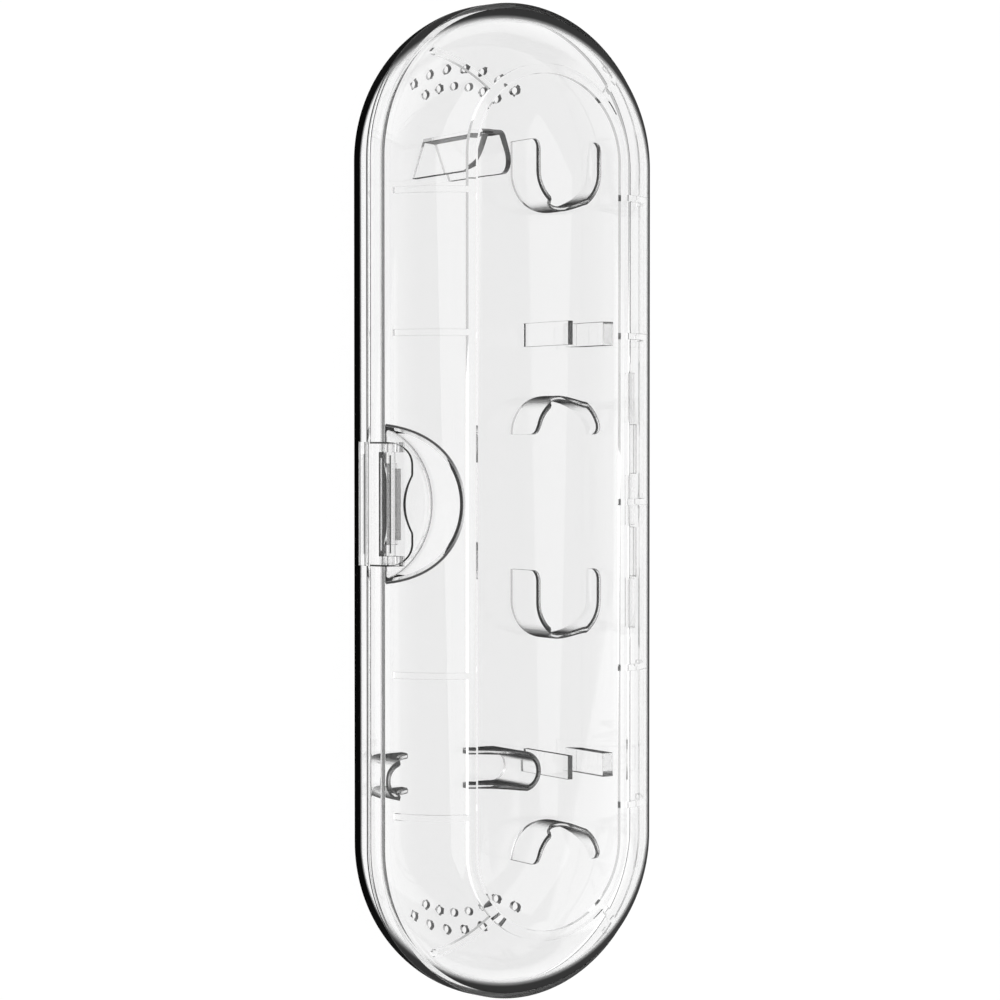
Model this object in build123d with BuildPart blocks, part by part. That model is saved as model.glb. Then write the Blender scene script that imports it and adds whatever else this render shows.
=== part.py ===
from build123d import *
import os

# Clear travel case for an electric toothbrush handle and two spare brush heads.
# The case lies flat on its base: length along Y, the latch on -X, the hinge on +X, +Z up.
# The origin is the centre of the outline on the surface that the base stands on.

os.makedirs("parts", exist_ok=True)

# ---- Shells -----------------------------------------------------------------
case_length = 225.0
case_width = 72.6
case_height = 40.0
wall = 1.3
base_share = 0.5175
rim_straight = 0.1
dome_inset = 0.8
dome_straight = 0.3
band_height = 5.3
band_draft = 3.0

half_width = case_width / 2
end_y = case_length / 2 - half_width
parting_z = base_share * case_height
base_round = parting_z - rim_straight
dome_half_width = half_width - dome_inset
dome_round = case_height - parting_z - dome_straight
ledge_z = parting_z + band_height

# ---- Vents in the base floor -------------------------------------------------
vent_radius = 0.95
vent_step = 11.8
vent_outer_inset = 12.2
vent_inner_inset = 16.2
vent_outer_count = 7
vent_inner_count = 6

vent_outer_circle = half_width - vent_outer_inset
vent_inner_circle = half_width - vent_inner_inset

# ---- Stiffening ribs inside the lid ------------------------------------------
rib_height = 1.0
rib_width = 1.4
rib_foot_rise = 1.0
ring_inset = 17.4
ring_width = 2.1
far_rib_setback = 7.6
near_rib_setback = 38.7
corner_rib_angles = (45, 135, 225, 315)

rib_foot_z = ledge_z + rib_foot_rise
ring_inner = half_width - ring_inset
cross_rib_ys = (end_y - near_rib_setback, end_y - far_rib_setback)
middle_rib_y = 0.0

# ---- Lid hinge ---------------------------------------------------------------
hinge_stand_out = 0.6
barrel_radius = 1.4
barrel_relief = 0.2
hinge_pin_radius = 0.7
hinge_running_gap = 0.05
knuckle_length = 12.0
knuckle_gap = 0.4
knuckle_count = 5
web_reach = 3.4

hinge_x = half_width + hinge_stand_out
hinge_z = parting_z

# ---- Finger pocket in the lid ------------------------------------------------
pocket_radius = 17.5
pocket_stand_out = 4.6
pocket_corner = 1.5

pocket_x = -half_width - pocket_stand_out

# ---- Latch: a rocker on a pin across the pocket --------------------------------
latch_length = 27.2
latch_thickness = 0.9
latch_stand_out = 1.5
latch_foot_drop = 1.1
latch_bend_rise = 3.8
latch_bend_radius = 9.0
latch_tip_inset = 4.5
latch_corner = 5.0
dip_radius = 14.0
dip_depth = 1.5
hook_height = 0.5
hook_clearance = 0.1
catch_reach = 0.3
catch_height = 0.5
catch_length = 22.0
latch_pin_inset = 2.3
latch_pin_rise = 7.0
latch_pin_radius = 0.7
latch_running_gap = 0.05
latch_pin_length = 26.0
boss_radius = 1.2
boss_length = 17.8
cheek_radius = 1.45
cheek_thickness = 2.2
cheek_height = 2.8

latch_outer_x = -half_width - latch_stand_out
latch_foot_z = parting_z - latch_foot_drop
latch_bend_z = parting_z + latch_bend_rise
latch_tip_x = -half_width + latch_tip_inset
latch_pin_x = -half_width + latch_pin_inset
latch_pin_z = parting_z + latch_pin_rise

# ---- Brush head holders --------------------------------------------------------
holder_inset = 13.8
holder_radius = 9.1
holder_wall = 1.2
holder_rim_drop = 8.0
holder_tip_round = 2.5
cup_depth = 16.4
neck_notch_radius = 5.0
neck_notch_rise = 0.5
upper_cup_setback = 8.5
lower_cup_setback = 43.5
clip_offset = 28.9
arch_offset = 43.2
clip_length = 5.5
clip_rim_drop = 0.5
clip_gap = 8.5
clip_plate = 1.3
clip_block = 3.0
clip_round = 0.3

holder_x = half_width - holder_inset
holder_rim_z = parting_z - holder_rim_drop
clip_rim_z = parting_z - clip_rim_drop
clip_left_x = holder_x - clip_gap / 2
clip_right_x = holder_x + clip_gap / 2
upper_cup_y = end_y - upper_cup_setback
lower_cup_y = -end_y + lower_cup_setback

# ---- Handle supports -----------------------------------------------------------
cradle_edge = 7.75
cradle_clip_gap = 4.2
cradle_setback = 13.8
cradle_width = 9.3
cradle_wall = 1.3
cradle_rim_drop = 5.0
horn_reach = 12.15
saddle_shoulder = 3.35
saddle_drop = 1.4
stop_shift = 0.1
stop_mouth_setback = 2.2
stop_back_reach = 7.2
stop_mouth = 11.2
stop_back = 5.0
stop_wall = 1.2
stop_rise = 6.9
stop_mouth_round = 5.0
stop_back_round = 1.5

# The cradle fills the width between the case wall and the clip, and the handle lies midway.
# The saddle is cut from one shoulder to the other, and its middle is left open.
cradle_left_x = -half_width + cradle_edge
cradle_right_x = clip_left_x - clip_plate - cradle_clip_gap
cradle_length = cradle_right_x - cradle_left_x
saddle_radius = cradle_length / 2 - saddle_shoulder
saddle_gap = cradle_length - 2 * horn_reach
cradle_y = -end_y + cradle_setback
cradle_rim_z = parting_z - cradle_rim_drop
handle_x = (cradle_left_x + cradle_right_x) / 2
saddle_z = parting_z - saddle_drop
stop_x = handle_x + stop_shift
stop_open_y = end_y - stop_mouth_setback
stop_back_y = end_y + stop_back_reach
stop_top_z = parting_z + stop_rise


def case_slot(radius, mode=Mode.ADD):
    """The plan of the case: a slot along Y whose ends keep the centres of the outline."""
    return SlotCenterToCenter(2 * end_y, 2 * radius, rotation=90, mode=mode)


def side_plane(y):
    """A vertical plane across the case at the given Y, drawn in X and Z, facing -Y."""
    return Plane.XZ.offset(-y)


def knuckle_start(index):
    """The lowest Y of a hinge knuckle, counted from the -Y end."""
    return (index - knuckle_count / 2) * knuckle_length


def hinge_cylinder(radius, index, mode):
    """A cylinder on the hinge axis over the full length of one knuckle."""
    with BuildSketch(side_plane(knuckle_start(index) + knuckle_length)) as section:
        with Locations((hinge_x, hinge_z)):
            Circle(radius)
    extrude(section.sketch, amount=knuckle_length, mode=mode)


def knuckle(index, wall_x, up):
    """One knuckle: a barrel and the web that ties it to the wall above or below the rim."""
    top = knuckle_start(index) + knuckle_length - knuckle_gap / 2
    with BuildSketch(side_plane(top)) as section:
        with Locations((hinge_x, hinge_z)):
            Circle(barrel_radius)
        with BuildLine():
            Polyline(
                (wall_x, hinge_z),
                (hinge_x, hinge_z),
                (hinge_x, hinge_z + up * barrel_radius),
                (half_width, hinge_z + up * web_reach),
                (wall_x, hinge_z + up * web_reach),
                close=True,
            )
        make_face()
    extrude(section.sketch, amount=knuckle_length - knuckle_gap)


base_knuckles = range(0, knuckle_count, 2)
lid_knuckles = range(1, knuckle_count, 2)
hinge_length = knuckle_count * knuckle_length - knuckle_gap

# ---- Base shell ------------------------------------------------------------------
with BuildPart() as base_cavity:
    with BuildSketch(Plane.XY.offset(wall)):
        case_slot(half_width - wall)
    extrude(amount=parting_z - wall)
    fillet(base_cavity.edges().group_by(Axis.Z)[0], radius=base_round - wall)

with BuildPart() as base_shell:
    with BuildSketch():
        case_slot(half_width)
    extrude(amount=parting_z)
    fillet(base_shell.edges().group_by(Axis.Z)[0], radius=base_round)
    add(base_cavity.part, mode=Mode.SUBTRACT)

    # Two arcs of vents at each end, centred where the round end begins.
    for end in (1, -1):
        for circle, count in (
            (vent_outer_circle, vent_outer_count),
            (vent_inner_circle, vent_inner_count),
        ):
            span = vent_step * (count - 1)
            first = 90 * end - span / 2
            with BuildSketch():
                with Locations((0, end * end_y)):
                    with PolarLocations(circle, count, first, span, endpoint=True):
                        Circle(vent_radius)
            extrude(amount=parting_z, mode=Mode.SUBTRACT)

    # The catch under which the latch hooks.
    with BuildSketch(Plane.XY.offset(parting_z - catch_height)):
        with Locations((-half_width, 0)):
            Rectangle(2 * catch_reach, catch_length)
    extrude(amount=catch_height)

    for index in lid_knuckles:
        hinge_cylinder(barrel_radius + barrel_relief, index, Mode.SUBTRACT)
    for index in base_knuckles:
        knuckle(index, half_width - wall / 2, -1)
    for index in range(knuckle_count):
        hinge_cylinder(hinge_pin_radius, index, Mode.SUBTRACT)

base_shell.part.label = "base_shell"
export_step(base_shell.part, "parts/base_shell.step")

# ---- Lid shell --------------------------------------------------------------------
with BuildPart() as lid_outside:
    with BuildSketch(Plane.XY.offset(parting_z)):
        case_slot(dome_half_width)
    extrude(amount=case_height - parting_z)
    fillet(lid_outside.edges().group_by(Axis.Z)[-1], radius=dome_round)
    with BuildSketch(Plane.XY.offset(parting_z)):
        case_slot(half_width)
    extrude(amount=band_height, taper=band_draft)

with BuildPart() as lid_cavity:
    with BuildSketch(Plane.XY.offset(parting_z)):
        case_slot(dome_half_width - wall)
    extrude(amount=case_height - wall - parting_z)
    fillet(lid_cavity.edges().group_by(Axis.Z)[-1], radius=dome_round - wall)

with BuildPart() as rib_core:
    with BuildSketch(Plane.XY.offset(parting_z)):
        case_slot(dome_half_width - wall - rib_height)
    extrude(amount=case_height - wall - rib_height - parting_z)
    fillet(rib_core.edges().group_by(Axis.Z)[-1], radius=dome_round - wall - rib_height)

# The ribs are the skin of the cavity, rib_height deep, cut out to their plan.
with BuildPart() as lid_ribs:
    ring_middle = ring_inner + ring_width / 2
    rib_run = dome_half_width - ring_middle
    with BuildSketch(Plane.XY.offset(rib_foot_z)):
        case_slot(ring_inner + ring_width)
        case_slot(ring_inner, mode=Mode.SUBTRACT)
        for side in (1, -1):
            for rib_y in cross_rib_ys:
                with Locations((side * (ring_middle + rib_run / 2), rib_y)):
                    Rectangle(rib_run, rib_width)
                with Locations((side * (ring_middle + rib_run / 2), -rib_y)):
                    Rectangle(rib_run, rib_width)
        with Locations((ring_middle + rib_run / 2, middle_rib_y)):
            Rectangle(rib_run, rib_width)
        for angle in corner_rib_angles:
            end = 1 if angle < 180 else -1
            with Locations((0, end * end_y)):
                with PolarLocations(ring_middle + rib_run / 2, 1, angle):
                    Rectangle(rib_run, rib_width)
    extrude(amount=case_height - rib_foot_z)
    add(lid_cavity.part, mode=Mode.INTERSECT)
    add(rib_core.part, mode=Mode.SUBTRACT)

# The pocket's own wall and floor, trimmed to the outside of the lid.
with BuildPart() as pocket_liner:
    with BuildSketch(Plane.XY.offset(ledge_z - wall)):
        with Locations((pocket_x, 0)):
            Circle(pocket_radius + wall)
    extrude(amount=case_height - ledge_z + wall)
    add(lid_outside.part, mode=Mode.INTERSECT)

with BuildPart() as pocket_space:
    with BuildSketch(Plane.XY.offset(ledge_z)):
        with Locations((pocket_x, 0)):
            Circle(pocket_radius)
    extrude(amount=case_height - ledge_z)
    fillet(pocket_space.edges().group_by(Axis.Z)[0], radius=pocket_corner)

with BuildPart() as lid_shell:
    add(lid_outside.part)
    add(lid_cavity.part, mode=Mode.SUBTRACT)
    add(lid_ribs.part)
    add(pocket_liner.part)
    add(pocket_space.part, mode=Mode.SUBTRACT)

    # The boss in the middle of the pocket that the latch rocks on.
    with BuildSketch(side_plane(boss_length / 2)):
        with Locations((latch_pin_x, latch_pin_z)):
            Circle(boss_radius)
        with Locations((latch_pin_x, (latch_pin_z + ledge_z - wall / 2) / 2)):
            Rectangle(2 * boss_radius, latch_pin_z - ledge_z + wall / 2)
    extrude(amount=boss_length)
    with BuildSketch(side_plane(boss_length / 2)):
        with Locations((latch_pin_x, latch_pin_z)):
            Circle(latch_pin_radius)
    extrude(amount=boss_length, mode=Mode.SUBTRACT)

    for index in base_knuckles:
        hinge_cylinder(barrel_radius + barrel_relief, index, Mode.SUBTRACT)
    for index in lid_knuckles:
        knuckle(index, half_width - wall / 2, 1)
    for index in lid_knuckles:
        hinge_cylinder(hinge_pin_radius + hinge_running_gap, index, Mode.SUBTRACT)

lid_shell.part.label = "lid_shell"
export_step(lid_shell.part, "parts/lid_shell.step")

# ---- Pins ----------------------------------------------------------------------------
with BuildPart() as hinge_pin:
    with BuildSketch(side_plane(hinge_length / 2)):
        with Locations((hinge_x, hinge_z)):
            Circle(hinge_pin_radius)
    extrude(amount=hinge_length)

hinge_pin.part.label = "hinge_pin"
export_step(hinge_pin.part, "parts/hinge_pin.step")

with BuildPart() as latch_pin:
    with BuildSketch(side_plane(latch_pin_length / 2)):
        with Locations((latch_pin_x, latch_pin_z)):
            Circle(latch_pin_radius)
    extrude(amount=latch_pin_length)

latch_pin.part.label = "latch_pin"
export_step(latch_pin.part, "parts/latch_pin.step")

# ---- Latch flap ------------------------------------------------------------------------
bend_x = latch_outer_x + latch_bend_radius
inner_x = latch_outer_x + latch_thickness
hook_x = -half_width - catch_reach - hook_clearance

with BuildPart() as latch_flap:
    with BuildSketch(side_plane(latch_length / 2)):
        # A bent plate: the upright leg, then the bend that carries on the dome.
        with Locations((bend_x, latch_bend_z)):
            Circle(latch_bend_radius)
            Circle(latch_bend_radius - latch_thickness, mode=Mode.SUBTRACT)
        with Locations((latch_tip_x, latch_bend_z)):
            Rectangle(
                2 * latch_bend_radius,
                latch_bend_radius,
                align=(Align.MAX, Align.MIN),
                mode=Mode.INTERSECT,
            )
        with Locations((latch_outer_x, latch_foot_z)):
            Rectangle(latch_thickness, latch_bend_z - latch_foot_z, align=Align.MIN)
            Rectangle(hook_x - latch_outer_x, hook_height, align=Align.MIN)
    extrude(amount=latch_length)

    # Round the free corners in plan and let a finger in at the middle of the free edge.
    with BuildSketch(Plane.XY.offset(latch_foot_z)) as latch_plan:
        with Locations((latch_tip_x, 0)):
            Rectangle(
                latch_tip_x - latch_outer_x, latch_length, align=(Align.MAX, Align.CENTER)
            )
        fillet(latch_plan.vertices().group_by(Axis.X)[-1], radius=latch_corner)
        with Locations((latch_tip_x - dip_depth + dip_radius, 0)):
            Circle(dip_radius, mode=Mode.SUBTRACT)
    extrude(amount=case_height, mode=Mode.INTERSECT)

    # A cheek at each end takes the pin.
    for outer_y in (latch_length / 2, cheek_thickness - latch_length / 2):
        with BuildSketch(side_plane(outer_y)):
            with Locations((bend_x, latch_bend_z)):
                Circle(latch_bend_radius - latch_thickness / 2)
            with Locations((latch_pin_x + cheek_radius, latch_pin_z)):
                Rectangle(
                    latch_bend_radius,
                    cheek_height,
                    align=(Align.MAX, Align.MIN),
                    mode=Mode.INTERSECT,
                )
            with Locations((latch_pin_x, latch_pin_z)):
                Circle(cheek_radius)
        extrude(amount=cheek_thickness)
    with BuildSketch(side_plane(latch_length / 2)):
        with Locations((latch_pin_x, latch_pin_z)):
            Circle(latch_pin_radius + latch_running_gap)
    extrude(amount=latch_length, mode=Mode.SUBTRACT)

latch_flap.part.label = "latch_flap"
export_step(latch_flap.part, "parts/latch_flap.step")


# ---- Brush head holders ------------------------------------------------------------------
def neck_notch(wall_y):
    """The dip in a holder's rim where the neck of the brush head lies, cut along Y."""
    with BuildSketch(side_plane(wall_y + holder_radius / 2)) as section:
        with Locations((holder_x, holder_rim_z + neck_notch_rise)):
            Circle(neck_notch_radius)
    extrude(section.sketch, amount=holder_radius, mode=Mode.SUBTRACT)


def brush_cup(closed_y):
    """A U of thin wall, closed at closed_y and open towards +Y, standing on the floor."""
    middle_y = closed_y + holder_radius
    arm = cup_depth - holder_radius
    with BuildPart() as cup:
        with BuildSketch():
            with Locations((holder_x, middle_y)):
                Circle(holder_radius)
                Rectangle(2 * holder_radius, arm, align=(Align.CENTER, Align.MIN))
                Circle(holder_radius - holder_wall, mode=Mode.SUBTRACT)
                Rectangle(
                    2 * (holder_radius - holder_wall),
                    cup_depth,
                    align=(Align.CENTER, Align.MIN),
                    mode=Mode.SUBTRACT,
                )
        extrude(amount=holder_rim_z)
        tips = cup.edges().filter_by(Axis.X).group_by(Axis.Z)[-1]
        fillet(tips, radius=holder_tip_round)
        neck_notch(closed_y)
        add(base_cavity.part, mode=Mode.INTERSECT)
    return cup.part


def brush_arch(apex_y):
    """A half ring of thin wall with its crown at apex_y, open towards -Y."""
    middle_y = apex_y - holder_radius
    with BuildPart() as arch:
        with BuildSketch():
            with Locations((holder_x, middle_y)):
                Circle(holder_radius)
                Circle(holder_radius - holder_wall, mode=Mode.SUBTRACT)
                Rectangle(
                    2 * holder_radius,
                    holder_radius,
                    align=(Align.CENTER, Align.MIN),
                    mode=Mode.INTERSECT,
                )
        extrude(amount=holder_rim_z)
        tips = arch.edges().filter_by(Axis.X).group_by(Axis.Z)[-1]
        fillet(tips, radius=holder_tip_round)
        neck_notch(apex_y)
        add(base_cavity.part, mode=Mode.INTERSECT)
    return arch.part


def clip_half(middle_y, inner_x, thickness, align):
    """One side of the clip that grips the neck of a brush head, standing on the floor."""
    with BuildPart() as half:
        with BuildSketch():
            with Locations((inner_x, middle_y)):
                Rectangle(thickness, clip_length, align=(align, Align.CENTER))
        extrude(amount=clip_rim_z)
        fillet(half.edges().group_by(Axis.Z)[-1], radius=clip_round)
        add(base_cavity.part, mode=Mode.INTERSECT)
    return half.part


for place, cup_y in (("upper", upper_cup_y), ("lower", lower_cup_y)):
    clip_y = cup_y - clip_offset
    holders = {
        f"brush_cup_{place}": brush_cup(cup_y),
        f"clip_plate_{place}": clip_half(clip_y, clip_left_x, clip_plate, Align.MAX),
        f"clip_block_{place}": clip_half(clip_y, clip_right_x, clip_block, Align.MIN),
        f"brush_arch_{place}": brush_arch(cup_y - arch_offset),
    }
    for name, holder in holders.items():
        holder.label = name
        export_step(holder, f"parts/{name}.step")

# ---- Handle supports ----------------------------------------------------------------------
def cradle_horn(side):
    """One end of a long ring across the case, cut down by the round saddle for the handle."""
    with BuildPart() as horn:
        with BuildSketch():
            with Locations((handle_x, cradle_y)):
                SlotOverall(cradle_length, cradle_width)
                SlotOverall(
                    cradle_length - 2 * cradle_wall,
                    cradle_width - 2 * cradle_wall,
                    mode=Mode.SUBTRACT,
                )
            with Locations((handle_x + side * saddle_gap / 2, cradle_y)):
                Rectangle(
                    cradle_length,
                    cradle_width,
                    align=(Align.MIN if side > 0 else Align.MAX, Align.CENTER),
                    mode=Mode.INTERSECT,
                )
        extrude(amount=cradle_rim_z)
        with BuildSketch(side_plane(cradle_y + cradle_width)):
            with Locations((handle_x, saddle_z)):
                Circle(saddle_radius)
        extrude(amount=2 * cradle_width, mode=Mode.SUBTRACT)
        add(base_cavity.part, mode=Mode.INTERSECT)
    return horn.part


for name, side in (("cradle_left", -1), ("cradle_right", 1)):
    horn = cradle_horn(side)
    horn.label = name
    export_step(horn, f"parts/{name}.step")

# Two walls that close in on the foot of the handle, joined by a short wall behind it.
with BuildPart() as handle_stop:
    with BuildSketch(Plane.XY.offset(wall)):
        with BuildLine():
            Polyline(
                (stop_x - stop_mouth / 2, stop_open_y),
                (stop_x - stop_back / 2, stop_back_y),
                (stop_x + stop_back / 2, stop_back_y),
                (stop_x + stop_mouth / 2, stop_open_y),
                close=True,
            )
        make_face()
    extrude(amount=stop_top_z - wall)
    rim_edges = handle_stop.edges().filter_by(Axis.X).group_by(Axis.Z)[-1].sort_by(Axis.Y)
    fillet(rim_edges[0], radius=stop_mouth_round)
    rim_edges = handle_stop.edges().filter_by(Axis.X).group_by(Axis.Z)[-1].sort_by(Axis.Y)
    fillet(rim_edges[-1], radius=stop_back_round)
    with BuildSketch(Plane.XY.offset(wall)):
        with BuildLine():
            Polyline(
                (stop_x - stop_mouth / 2 + stop_wall, stop_open_y),
                (stop_x - stop_back / 2 + stop_wall, stop_back_y - stop_wall),
                (stop_x + stop_back / 2 - stop_wall, stop_back_y - stop_wall),
                (stop_x + stop_mouth / 2 - stop_wall, stop_open_y),
                close=True,
            )
        make_face()
    extrude(amount=stop_top_z - wall, mode=Mode.SUBTRACT)

handle_stop.part.label = "handle_stop"
export_step(handle_stop.part, "parts/handle_stop.step")
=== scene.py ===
import math

import bmesh
import bpy
import numpy as np
from mathutils import Matrix, Vector


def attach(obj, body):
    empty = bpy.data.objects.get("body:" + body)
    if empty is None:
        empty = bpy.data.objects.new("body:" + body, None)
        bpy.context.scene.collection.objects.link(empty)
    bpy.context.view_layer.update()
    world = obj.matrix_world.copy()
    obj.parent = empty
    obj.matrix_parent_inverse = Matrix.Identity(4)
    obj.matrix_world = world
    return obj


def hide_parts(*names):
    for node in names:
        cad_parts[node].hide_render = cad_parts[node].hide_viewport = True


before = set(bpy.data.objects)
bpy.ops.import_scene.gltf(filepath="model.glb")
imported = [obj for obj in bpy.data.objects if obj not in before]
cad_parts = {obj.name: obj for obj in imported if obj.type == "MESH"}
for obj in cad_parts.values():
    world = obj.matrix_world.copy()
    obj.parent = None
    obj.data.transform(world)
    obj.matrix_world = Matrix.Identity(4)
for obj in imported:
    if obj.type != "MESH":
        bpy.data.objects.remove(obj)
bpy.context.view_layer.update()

MM = 0.001

# Sizes and places that several pieces share, in millimetres, as the solids have them. Only the
# base's round is smaller than theirs, to leave room for a rounded rim.
END_Y = 76.2
HALF_WIDTH = 36.3
WALL = 1.3
PARTING_Z = 20.7
LEDGE_Z = 26.0
TOP_Z = 40.0
BASE_ROUND = 20.3
DOME_ROUND = 19.0
DOME_HALF_WIDTH = 35.5
HINGE_X = 36.9
HOLDER_X = 22.5
HANDLE_X = -7.9
POCKET_X = -40.9
LATCH_PIN = (-34.0, 27.7)
PIN = 0.7

# The play of a pin in its bore.
RUNNING_GAP = 0.04

# Each half stands back from the joint by this much, which draws the line between them.
SEAM = 0.03

# How far the web or the foot of a rod stops short of the rod's ends.
SHORT_OF_END = 0.05

# How far a face may lie from a size and still count as being at it.
NEAR = 0.01

# How fine the meshes are: steps a radian on a round of 1 mm, and points round an end and along
# a straight side of the case.
ROUND_STEPS = 9
END_POINTS = 97
SIDE_POINTS = 49

# Places for materials on a mesh whose faces are numbered before it gets its materials.
MATERIAL_PLACES = 3


# ---------------------------------------------------------------- mesh making
def grid_faces(rows, columns, wrap_rows=False):
    """Quads between neighbouring rows and columns of points numbered row by row. The last column
    joins the first one, and so do the rows where they wrap."""
    row = np.arange(rows if wrap_rows else rows - 1)
    row, column = np.meshgrid(row, np.arange(columns), indexing="ij")
    next_row = (row + 1) % rows
    next_column = (column + 1) % columns
    corners = [
        row * columns + column,
        row * columns + next_column,
        next_row * columns + next_column,
        next_row * columns + column,
    ]
    return np.stack(corners, axis=-1).reshape(-1, 4)


def number_faces(mesh, numbers):
    """Gives each face the number of its material, and keeps places for the materials."""
    for _ in range(MATERIAL_PLACES):
        mesh.materials.append(None)
    mesh.polygons.foreach_set("material_index", np.asarray(numbers, np.int32))


def closed_object(name, points, faces, caps=(), numbers=None):
    """A mesh object from points in millimetres, with doubled points merged and faces turned
    outwards. The numbers, where given, are those of the faces' materials."""
    mesh = bpy.data.meshes.new(name)
    mesh.from_pydata((np.asarray(points) * MM).tolist(), [], faces.tolist() + [list(cap) for cap in caps])
    if numbers is not None:
        number_faces(mesh, numbers)
    shape = bmesh.new()
    shape.from_mesh(mesh)
    bmesh.ops.remove_doubles(shape, verts=shape.verts, dist=2e-6)
    bmesh.ops.dissolve_degenerate(shape, edges=shape.edges, dist=1e-7)
    bmesh.ops.recalc_face_normals(shape, faces=shape.faces)
    if shape.calc_volume(signed=True) < 0:
        bmesh.ops.reverse_faces(shape, faces=shape.faces)
    shape.to_mesh(mesh)
    shape.free()
    piece = bpy.data.objects.new(name, mesh)
    bpy.context.scene.collection.objects.link(piece)
    return piece


def combine(piece, tool, operation):
    """The union, difference or intersection of two closed meshes, left in the first one."""
    step = piece.modifiers.new(operation, "BOOLEAN")
    step.operation = operation
    step.solver = "MANIFOLD"
    step.object = tool
    graph = bpy.context.evaluated_depsgraph_get()
    result = bpy.data.meshes.new_from_object(piece.evaluated_get(graph))
    piece.modifiers.clear()
    piece.data = result
    bpy.data.objects.remove(tool)
    return piece


def soften(corners):
    """A polyline through (a, b, radius) corners. Each corner is turned by an arc of its radius
    that is tangent to both sides."""
    line = []
    for before, corner, after in zip([None, *corners[:-1]], corners, [*corners[1:], None]):
        here = np.array(corner[:2], float)
        radius = corner[2]
        if before is None or after is None or radius == 0:
            line.append(here[None, :])
            continue
        back = np.array(before[:2], float) - here
        on = np.array(after[:2], float) - here
        back /= np.linalg.norm(back)
        on /= np.linalg.norm(on)
        half = math.acos(float(np.clip(back @ on, -1, 1))) / 2
        centre = here + (back + on) / np.linalg.norm(back + on) * radius / math.sin(half)
        start = here + back * radius / math.tan(half) - centre
        stop = here + on * radius / math.tan(half) - centre
        first = math.atan2(start[1], start[0])
        sweep = (math.atan2(stop[1], stop[0]) - first + math.pi) % (2 * math.pi) - math.pi
        steps = max(3, int(math.ceil(abs(sweep) * math.sqrt(radius) * ROUND_STEPS)))
        angle = first + sweep * np.linspace(0, 1, steps + 1)
        line.append(centre + radius * np.stack([np.cos(angle), np.sin(angle)], axis=-1))
    return np.concatenate(line)


def arc_points(centre, radius, first, last, steps):
    """Points on a circle from one angle to another, in degrees, as (a, b) pairs."""
    angle = np.radians(np.linspace(first, last, steps + 1))
    return np.stack([centre[0] + radius * np.cos(angle), centre[1] + radius * np.sin(angle)], axis=-1)


def capsule_sweep(name, profile, closed_profile=False):
    """A profile of (distance from the middle line, height) carried once round the capsule outline:
    each point is the end centre it belongs to plus the distance times the outward direction."""
    turn = np.linspace(0, math.pi, END_POINTS)
    run = np.linspace(END_Y, -END_Y, SIDE_POINTS)[1:-1]
    angle = np.concatenate([turn, np.full(run.size, math.pi), turn + math.pi, np.zeros(run.size)])
    centre = np.concatenate([np.full(turn.size, END_Y), run, np.full(turn.size, -END_Y), -run])
    reach = profile[:, 0][:, None]
    x = reach * np.cos(angle)
    y = centre + reach * np.sin(angle)
    z = np.broadcast_to(profile[:, 1][:, None], x.shape)
    points = np.stack([x, y, z], axis=-1).reshape(-1, 3)
    return closed_object(name, points, grid_faces(len(profile), angle.size, wrap_rows=closed_profile))


def turned(name, profile, origin, axis, steps=64):
    """A profile of (radius, distance along the axis) turned once round an axis along Y or Z."""
    angle = np.linspace(0, 2 * math.pi, steps, endpoint=False)
    radius = profile[:, 0][:, None]
    across = radius * np.cos(angle)
    over = radius * np.sin(angle)
    along = np.broadcast_to(profile[:, 1][:, None], across.shape)
    order = [across, over, along] if axis == "Z" else [across, along, over]
    points = np.stack(order, axis=-1).reshape(-1, 3) + np.array(origin)
    return closed_object(name, points, grid_faces(len(profile), steps))


def rod(name, radius, x, z, low, high, chamfer=0.0, steps=64):
    """A straight rod along Y between two stations, with its end edges cut back by the chamfer."""
    profile = [(0, low), (radius - chamfer, low), (radius, low + chamfer)]
    profile += [(radius, high - chamfer), (radius - chamfer, high), (0, high)]
    return turned(name, np.array(profile, float), (x, 0, z), "Y", steps)


def slab(name, outline, low, high, along="Y"):
    """A flat outline carried straight along one axis from low to high. Its (a, b) points lie on
    the other two axes, in their order."""
    count = len(outline)
    flat = np.tile(np.asarray(outline, float), (2, 1))
    points = np.insert(flat, "XYZ".index(along), np.repeat([low, high], count), axis=1)
    return closed_object(name, points, grid_faces(2, count), [range(count), range(count, 2 * count)])


def joined(name, pieces):
    """Several closed meshes that don't touch, gathered into one object."""
    gathered = bmesh.new()
    for piece in pieces:
        gathered.from_mesh(piece.data)
        bpy.data.objects.remove(piece)
    mesh = bpy.data.meshes.new(name)
    gathered.to_mesh(mesh)
    gathered.free()
    result = bpy.data.objects.new(name, mesh)
    bpy.context.scene.collection.objects.link(result)
    return result


def face_centres(piece):
    """The middle of every face of a piece, in millimetres."""
    centres = np.empty(3 * len(piece.data.polygons))
    piece.data.polygons.foreach_get("center", centres)
    return centres.reshape(-1, 3) / MM


def face_numbers(piece):
    """The number of the material that each face of a piece was made with."""
    numbers = np.zeros(len(piece.data.polygons), np.int32)
    piece.data.polygons.foreach_get("material_index", numbers)
    return numbers


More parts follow.
